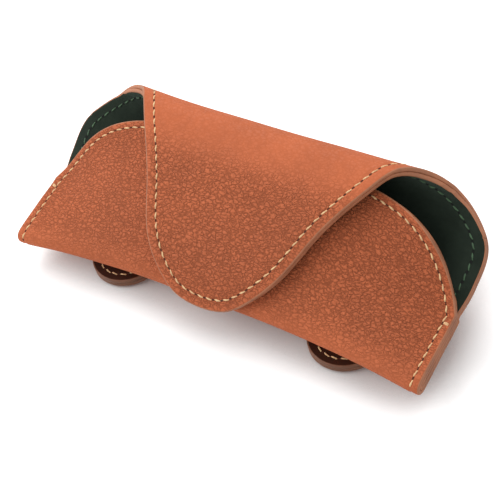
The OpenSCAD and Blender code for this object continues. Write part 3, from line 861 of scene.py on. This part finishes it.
class CASE_OT_stage(bpy.types.Operator):
    """Camera, lamps, floor and the plain pale surroundings"""
    bl_idname = "spectacles_case.stage"
    bl_label = "Set the stage"

    def execute(self, context):
        scene, s = context.scene, context.scene.case_stage
        scene.view_settings.view_transform = "Standard"
        az, el = s.azimuth, s.elevation
        back = Vector((math.sin(az) * math.cos(el), -math.cos(az) * math.cos(el), math.sin(el)))
        level = Vector((math.cos(az), math.sin(az), 0))
        rising = back.cross(level)
        right = level * math.cos(s.roll) + rising * math.sin(s.roll)
        up = rising * math.cos(s.roll) - level * math.sin(s.roll)
        target = Vector((TARGET_X, TARGET_Y - footprint_y, TARGET_Z)) * MM
        data = bpy.data.cameras.new("camera")
        data.sensor_width = 36
        data.lens = s.lens
        data.clip_start = 0.01
        camera = bpy.data.objects.new("camera", data)
        turn = Matrix((right, up, back)).transposed().to_4x4()
        camera.matrix_world = Matrix.Translation(target + back * s.distance) @ turn
        scene.collection.objects.link(camera)
        scene.camera = camera
        for name, power, size, spot in (("key_lamp", s.key, 0.35, (-0.32, 0.50, 0.68)),
                                        ("fill_lamp", s.fill, 0.7, (-0.72, -0.46, 0.60))):
            lamp = bpy.data.lights.new(name, "AREA")
            lamp.energy = power
            lamp.size = size
            holder = bpy.data.objects.new(name, lamp)
            holder.location = spot
            holder.rotation_euler = (-Vector(spot)).to_track_quat("-Z", "Y").to_euler()
            scene.collection.objects.link(holder)
        self.build_world(scene, s.world)
        self.build_floor()
        return {"FINISHED"}

    def build_world(self, scene, strength):
        world = bpy.data.worlds.new("studio")
        world.use_nodes = True
        n = Nodes(world.node_tree)
        background = world.node_tree.nodes["Background"]
        background.inputs["Color"].default_value = (1, 1, 1, 1)
        rays = n.add("ShaderNodeLightPath").outputs
        seen = n.math("MAXIMUM", rays["Is Camera Ray"], rays["Is Glossy Ray"])
        n.link(n.ramp(seen, 0.0, 1.0, strength, 1.0), background.inputs["Strength"])
        scene.world = world

    def build_floor(self):
        material = bpy.data.materials.new("pale_floor")
        material.use_nodes = True
        n = Nodes(material.node_tree)
        material.node_tree.nodes.remove(material.node_tree.nodes["Principled BSDF"])
        diffuse = n.add("ShaderNodeBsdfDiffuse")
        diffuse.inputs["Color"].default_value = (0.84, 0.84, 0.84, 1)
        glow = n.add("ShaderNodeEmission")
        rays = n.add("ShaderNodeLightPath").outputs
        # The floor shows white to the camera, but keeps the dark of the close shadow.
        open_sky = n.add("ShaderNodeAmbientOcclusion", samples=8)
        open_sky.inputs["Distance"].default_value = 0.03
        lit = n.ramp(open_sky.outputs["AO"], 0.42, 0.92, 0.0, 0.7)
        n.link(n.math("MULTIPLY", rays["Is Camera Ray"], lit), glow.inputs["Strength"])
        total = n.add("ShaderNodeAddShader")
        n.link(diffuse.outputs[0], total.inputs[0])
        n.link(glow.outputs[0], total.inputs[1])
        n.link(total.outputs[0], material.node_tree.nodes["Material Output"].inputs["Surface"])
        corners = np.array([[x * FLOOR_HALF, y * FLOOR_HALF, -FLOOR_DROP]
                            for x, y in ((-1, -1), (1, -1), (1, 1), (-1, 1))])
        floor = new_mesh("floor", corners, [[0, 1, 2, 3]], [material])


class CASE_OT_finishes(bpy.types.Operator):
    """Leather, suede, edge paint, thread, board and metal"""
    bl_idname = "spectacles_case.finishes"
    bl_label = "Mix the finishes"

    def execute(self, context):
        leather, stitch = context.scene.case_leather, context.scene.case_stitch
        finishes.update(
            hide=hide_finish("tan_hide", leather.hide, leather.grain_size, leather.grain_depth),
            # The strap finish's dark colour carries painted shade from the case above the loops.
            strap=hide_finish("strap_leather_with_painted_shade", leather.strap, 1.1 * MM, 0.09 * MM, 0.42),
            edge=edge_finish("edge_paint", leather.edge),
            raw_edge=edge_finish("raw_edge", leather.raw_edge),
            suede=suede_finish("green_suede", leather.suede),
            thread=thread_finish("waxed_thread", stitch.thread),
            lining_thread=thread_finish("green_thread", stitch.lining_thread),
            # The awl holes are darkened as painted shade, on the hide and on the suede.
            hole=plain_finish("awl_hole", shade(leather.hide, 0.16), 0.9),
            dark_hole=plain_finish("lining_awl_hole", shade(leather.suede, 0.3), 0.95),
            board=plain_finish("fibre_board", from_srgb(170, 146, 118), 0.8, 0.0, 1400.0, 0.00012),
            brass=plain_finish("aged_brass", from_srgb(176, 142, 88), 0.28, 1.0, 700.0, 0.00002),
            nickel=plain_finish("nickel", from_srgb(178, 178, 182), 0.3, 1.0, 700.0, 0.00002))
        return {"FINISHED"}


GROOVE_HALF_W = 0.5
# Depths short of this belong to the hide's outer face, with its rounded edge.
OUTER_FACE = 1.0
# The way in which the hide rises from the back into the flap.
RISING = unit(np.array([0, -0.55, 0.84]))


def hide_place(stitch, pattern):
    """Where the hide's outer face lies, pressed in along the rows of stitches."""

    def place(q, depth):
        rim = pattern.rim if len(q) == len(pattern.rim) else distance(q, pattern.cut)
        row = np.where(q[:, 1] > row_corner, stitch.row_inset, stitch.front_inset) / MM
        pressed = stitch.groove / MM * np.exp(-(((rim - row) / GROOVE_HALF_W) ** 2))
        return on_hide(q, depth + np.where(depth < OUTER_FACE, pressed, 0))

    return place


def layer_depths(rim):
    """Depths where the hide ends and the lining starts: apart over the board, together at the edge."""
    shut = smooth(rim, 2.3, 1.0)
    hide_end = LEATHER_T + (SHEET_T / 2 - 0.01 - LEATHER_T) * shut
    lining_start = LEATHER_T + BOARD_T + 2 * GLUE_T
    return hide_end, lining_start + (SHEET_T / 2 + 0.01 - lining_start) * shut


def blend_points(heights):
    """Start and end of the flap's bend, from where the highest of the joined pieces meets the back."""
    pivot = np.array(next(j["pos_m"] for j in frame["joints"] if j["name"] == "flap_hinge"))
    start = max(heights) - pivot @ RISING
    return tuple(pivot + RISING * start), tuple(pivot + RISING * (start + BEND_L * MM))


class CASE_OT_skin(bpy.types.Operator):
    """The folded hide with its suede lining and boards, from the front panel to the flap's tip"""
    bl_idname = "spectacles_case.skin"
    bl_label = "Fold the hide"

    def execute(self, context):
        leather, stitch = context.scene.case_leather, context.scene.case_stitch
        patterns["pocket"] = Pattern(pocket_cut, edge=whole_cut)
        patterns["flap"] = Pattern(flap_cut, edge=whole_cut)
        radius = leather.edge_round / MM
        heights, made = [], {}
        for part in ("pocket", "flap"):
            pattern = patterns[part]
            place = hide_place(stitch, pattern)
            hide_end, lining_start = layer_depths(pattern.rim)
            hide = laid_sheet(f"{part}_hide", pattern, place, 0.0, hide_end,
                              [finishes["hide"], finishes["suede"], finishes["edge"]], radius)
            lining = laid_sheet(f"{part}_suede", pattern, place, lining_start, SHEET_T,
                                [finishes["suede"], finishes["suede"], finishes["edge"]], radius)
            made[part] = (hide, lining)
            for piece, from_rim in ((hide, HIDE_EVEN_FROM), (lining, LINING_EVEN_FROM)):
                even_normals(piece, pattern, from_rim)
                co = np.array([v.co[:] for v in piece.data.vertices])
                joined = np.tile(pattern.seam < 0.01, 2)
                heights.append((co[joined] @ RISING).max())
        start, end = blend_points(heights)
        patterns["bend"] = (start, end)
        self.settle(made, start, end)
        self.lay_boards(start, end)
        return {"FINISHED"}

    def settle(self, made, start, end):
        for part, (hide, lining) in made.items():
            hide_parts(f"{part}_leather")
            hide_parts(f"{part}_lining")
            for piece in (hide, lining):
                if part == "pocket":
                    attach(piece, "pocket")
                else:
                    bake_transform(piece)
                    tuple(start)
                    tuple(end)

    def lay_boards(self, start, end):
        """Stiffening boards between hide and lining, which stop short of the bends."""
        top = LEATHER_T + 2 * GLUE_T
        hem, front_hem, clear = 2.8, 3.4, 3.3
        corner_x, corner_s = half_l - 9, 8
        back = np.vstack([[[corner_x, corner_s]], inset(edge_between(SEAM_L + 1.5, join_s - 1), hem)])
        flap_edge = inset(edge_between(back_l + 17, FLAP_REACH - 1), hem)
        flap_edge = flap_edge[flap_edge[:, 0] > 3]
        front = inset(mouth, front_hem)
        front = front[(distance(front, mouth) > clear) & (np.abs(front[:, 0]) < half_l - 8)]
        lines = {"back_board": np.vstack([back, mirrored(back)]),
                 "flap_board": np.vstack([flap_edge, mirrored(flap_edge)]),
                 "front_board": np.vstack([front, [[corner_x, -corner_s], [-corner_x, -corner_s]]])}
        for node, line in lines.items():
            pattern = Pattern(line, spacing=4.0, pitch=2.0, rings=(2.0,))
            n = len(pattern.flat)
            piece = laid_sheet(f"{node}_sheet", pattern, on_hide, np.full(n, top),
                               np.full(n, top + BOARD_T - 2 * GLUE_T), [finishes["board"]] * 3, radius=0.1)
            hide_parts(node)
            if node == "flap_board":
                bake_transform(piece)
                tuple(start)
                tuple(end)
            else:
                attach(piece, "pocket")


# Where the side seam's row starts, and how far up its two bartack stitches lie.
SEAM_ROW_START = 3.4
BARTACK_REACHES = (SEAM_L - 4.1, SEAM_L - 3.6)


def row_of(pattern, d):
    """The row of stitches that follows a cut edge at a distance."""
    row = inset(pattern.cut, d)
    return row[distance(row, pattern.cut) > CLEAR_SHARE * d]


class CASE_OT_stitches(bpy.types.Operator):
    """Rows of stitches along the mouth, side seams, back edges and flap, on both faces"""
    bl_idname = "spectacles_case.stitches"
    bl_label = "Sew the edges"

    def execute(self, context):
        stitch = context.scene.case_stitch
        d, groove = stitch.row_inset / MM, stitch.groove / MM
        pocket, flap = row_of(patterns["pocket"], d), row_of(patterns["flap"], d)
        front = row_of(patterns["pocket"], stitch.front_inset / MM)
        start, end = patterns["bend"]
        picks = {
            "mouth_stitches": (front, lambda p: p[1] < -row_corner, "mouth_thread"),
            "flap_stitches": (flap, None, "flap_edge_thread"),
        }
        for side, sign in (("left", -1), ("right", 1)):
            picks[f"side_seam_stitches_{side}"] = (
                front, lambda p, g=sign: g * p[0] > 0 and SEAM_ROW_START < abs(p[1]) <= row_corner,
                f"side_seam_thread_{side}")
            picks[f"back_edge_stitches_{side}"] = (
                pocket, lambda p, g=sign: g * p[0] > 0 and p[1] > row_corner, f"back_edge_thread_{side}")

        def outer(q, height):
            return on_hide(q, groove - height)

        def inner(q, height):
            return on_hide(q, SHEET_T + height)

        for name, (row, pick, node) in picks.items():
            thread = sewn_row(name, [row], outer, stitch, [finishes["thread"], finishes["hole"]], pick=pick)
            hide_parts(node)
            made = [thread]
            if "side_seam" not in name:
                made.append(sewn_row(f"{name}_inside", [row], inner, stitch,
                                     [finishes["lining_thread"], finishes["dark_hole"]],
                                     face=-1, dip=0.25, pick=pick))
            for piece in made:
                if name == "flap_stitches":
                    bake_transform(piece)
                    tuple(start)
                    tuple(end)
                else:
                    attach(piece, "pocket")
        self.sew_bartacks(stitch, outer)
        return {"FINISHED"}

    def sew_bartacks(self, stitch, outer):
        """Doubled stitches where the side seam ends, out to the edge."""
        d = stitch.front_inset / MM
        for side, sign in (("left", -1), ("right", 1)):
            rows = []
            for reach in BARTACK_REACHES:
                inner_end = [sign * (half_l - d - 0.2), -reach]
                rows.append(np.array([inner_end, [sign * (half_l - 0.3), -reach - 0.3]]))
            piece = sewn_row(f"bartack_{side}", rows, outer, stitch,
                             [finishes["thread"], finishes["hole"]], dip=0.15)
            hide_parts(f"side_bartack_{side}")
            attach(piece, "pocket")


loop_in_x = LOOP_X - LOOP_W / 2
# Where the strap lies on the table, its under-side stitches stay this far above it, thread and all.
UNDER_ROOM = 0.6
STRAP_ROW_INSET = 3.0
STRAP_RINGS = (0.08, 0.24, 0.5, 1.2, 2.4, 3.4, 5)


def above_back(s, lift):
    """A point of the belt loops' section, at a height above the back."""
    p, o = outside(loop_in_x, s), outward(loop_in_x, s)
    return p[1:] + lift * unit(o[1:])


anchor_at = above_back(ANCHOR_S, LOOP_LIFT)
strap_path = Path(spline([[LOOP_TIP_Y, CAP_H + LOOP_T], [LOOP_TIP_Y + SNAP_REACH + 4, CAP_H + LOOP_T],
                          [0.52 * POCKET_DEPTH, CAP_H + LOOP_T - 0.2], [0.70 * POCKET_DEPTH, LOOP_T + 0.15],
                          [0.85 * POCKET_DEPTH, BACK_H - 2.7], [0.95 * POCKET_DEPTH, BACK_H + 3.6],
                          anchor_at + [1.1, -7], anchor_at]
                         + [above_back(ANCHOR_S + d, LOOP_LIFT) for d in (3, 6, ANCHOR_L)]))


def strap_place(centre_x):
    def place(q, depth):
        heading = strap_path.heading(q[:, 1], 0.8)
        p = strap_path(q[:, 1]) - np.asarray(depth)[:, None] * left_of(heading)
        return np.column_stack([centre_x - q[:, 0], p])

    return place


class CASE_OT_loops(bpy.types.Operator):
    """Two doubled belt loops with round ends, sewn to the back"""
    bl_idname = "spectacles_case.loops"
    bl_label = "Make the belt loops"

    def execute(self, context):
        r = LOOP_W / 2
        length = strap_path.length - 0.2
        end_r = 3.0
        right = [[r, b] for b in np.arange(r, length - end_r, 2)]
        corner = [on_arc(np.array([r - end_r, length - end_r]), end_r, a) for a in range(0, 91, 15)]
        tip = [on_arc(np.array([0, r]), r, a) for a in range(-90, 0, 6)]
        side = np.vstack([tip, right, corner])
        whole = np.vstack([side, mirrored(side)[:-1]])
        pattern = Pattern(np.roll(whole, -4, axis=0), spacing=2.4, pitch=1.2, rings=STRAP_RINGS,
                          edge=np.vstack([whole, whole[:1]]))
        for name, sign in (("left", -1), ("right", 1)):
            self.make_loop(name, sign * LOOP_X, pattern, whole, context.scene.case_stitch)
        return {"FINISHED"}

    def make_loop(self, name, x, pattern, whole, stitch):
        place = strap_place(x)
        n = len(pattern.flat)
        inner = laid_sheet(f"strap_inner_{name}", pattern, place, np.zeros(n), np.full(n, LOOP_LAYER_T),
                           [finishes["strap"], finishes["strap"], finishes["raw_edge"]],
                           radius=0.35, painted=0.45)
        outer = laid_sheet(f"strap_outer_{name}", pattern, place, np.full(n, LOOP_LAYER_T + GLUE_T),
                           np.full(n, LOOP_T),
                           [finishes["strap"], finishes["hide"], finishes["raw_edge"]],
                           radius=0.35, painted=0.45)
        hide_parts(f"loop_inner_{name}")
        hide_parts(f"loop_outer_{name}", f"loop_anchor_{name}")
        row = row_of_closed(whole, STRAP_ROW_INSET)

        def upper(q, height):
            return place(q, -height)

        def under(q, height):
            """Pressed up into the strap where it lies on the table."""
            bottom = place(q, np.full(len(q), LOOP_T))[:, 2]
            return place(q, LOOP_T + height - np.maximum(0, UNDER_ROOM - bottom))

        looks = [finishes["thread"], finishes["hole"]]
        shown = sewn_row(f"strap_stitches_{name}", [row], upper, stitch, looks, face=-1)
        behind = sewn_row(f"strap_stitches_{name}_outside", [row], under, stitch, looks)
        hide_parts(f"loop_thread_{name}")
        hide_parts(f"anchor_thread_{name}")
        for piece in (inner, outer, shown, behind):
            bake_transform(piece)


def row_of_closed(outline, d):
    """The row of stitches that runs all round a closed outline."""
    line = np.vstack([outline, outline[:1]])
    row = inset(resampled(line, 1.0), d)
    row = row[distance(row, line) > CLEAR_SHARE * d]
    return np.vstack([row, row[:1]])


class CASE_OT_hardware(bpy.types.Operator):
    """Press studs and magnets take their metal finish"""
    bl_idname = "spectacles_case.hardware"
    bl_label = "Finish the hardware"

    def execute(self, context):
        kinds = {"snap_": "brass", "front_magnet": "nickel", "flap_magnet": "nickel"}
        for node, piece in frame["nodes"].items():
            for start, kind in kinds.items():
                if node.startswith(start):
                    piece.data.materials.clear()
                    piece.data.materials.append(finishes[kind])
        return {"FINISHED"}


class CASE_PT_panel(bpy.types.Panel):
    """Sizes, colours and steps of the case"""
    bl_label = "Spectacles Case"
    bl_idname = "CASE_PT_panel"
    bl_space_type = "VIEW_3D"
    bl_region_type = "UI"
    bl_category = "Spectacles Case"

    def draw(self, context):
        for settings in (context.scene.case_leather, context.scene.case_stitch, context.scene.case_stage):
            box = self.layout.box()
            for key in settings.bl_rna.properties.keys():
                if key not in ("rna_type", "name"):
                    box.prop(settings, key)
        for step in STEPS:
            self.layout.operator(step.bl_idname)


STEPS = (CASE_OT_stage, CASE_OT_finishes, CASE_OT_skin, CASE_OT_stitches, CASE_OT_loops, CASE_OT_hardware)
GROUPS = {"case_leather": CaseLeatherSettings, "case_stitch": CaseStitchSettings,
          "case_stage": CaseStageSettings}


def register():
    for cls in (*GROUPS.values(), *STEPS, CASE_PT_panel):
        bpy.utils.register_class(cls)
    for name, cls in GROUPS.items():
        setattr(bpy.types.Scene, name, PointerProperty(type=cls))


def unregister():
    for name in GROUPS:
        delattr(bpy.types.Scene, name)
    for cls in (CASE_PT_panel, *reversed(STEPS), *reversed(list(GROUPS.values()))):
        bpy.utils.unregister_class(cls)


def main():
    register()
    bpy.ops.spectacles_case.stage()
    bpy.ops.spectacles_case.finishes()
    bpy.ops.spectacles_case.skin()
    bpy.ops.spectacles_case.stitches()
    bpy.ops.spectacles_case.loops()
    bpy.ops.spectacles_case.hardware()


if __name__ == "__main__":
    main()
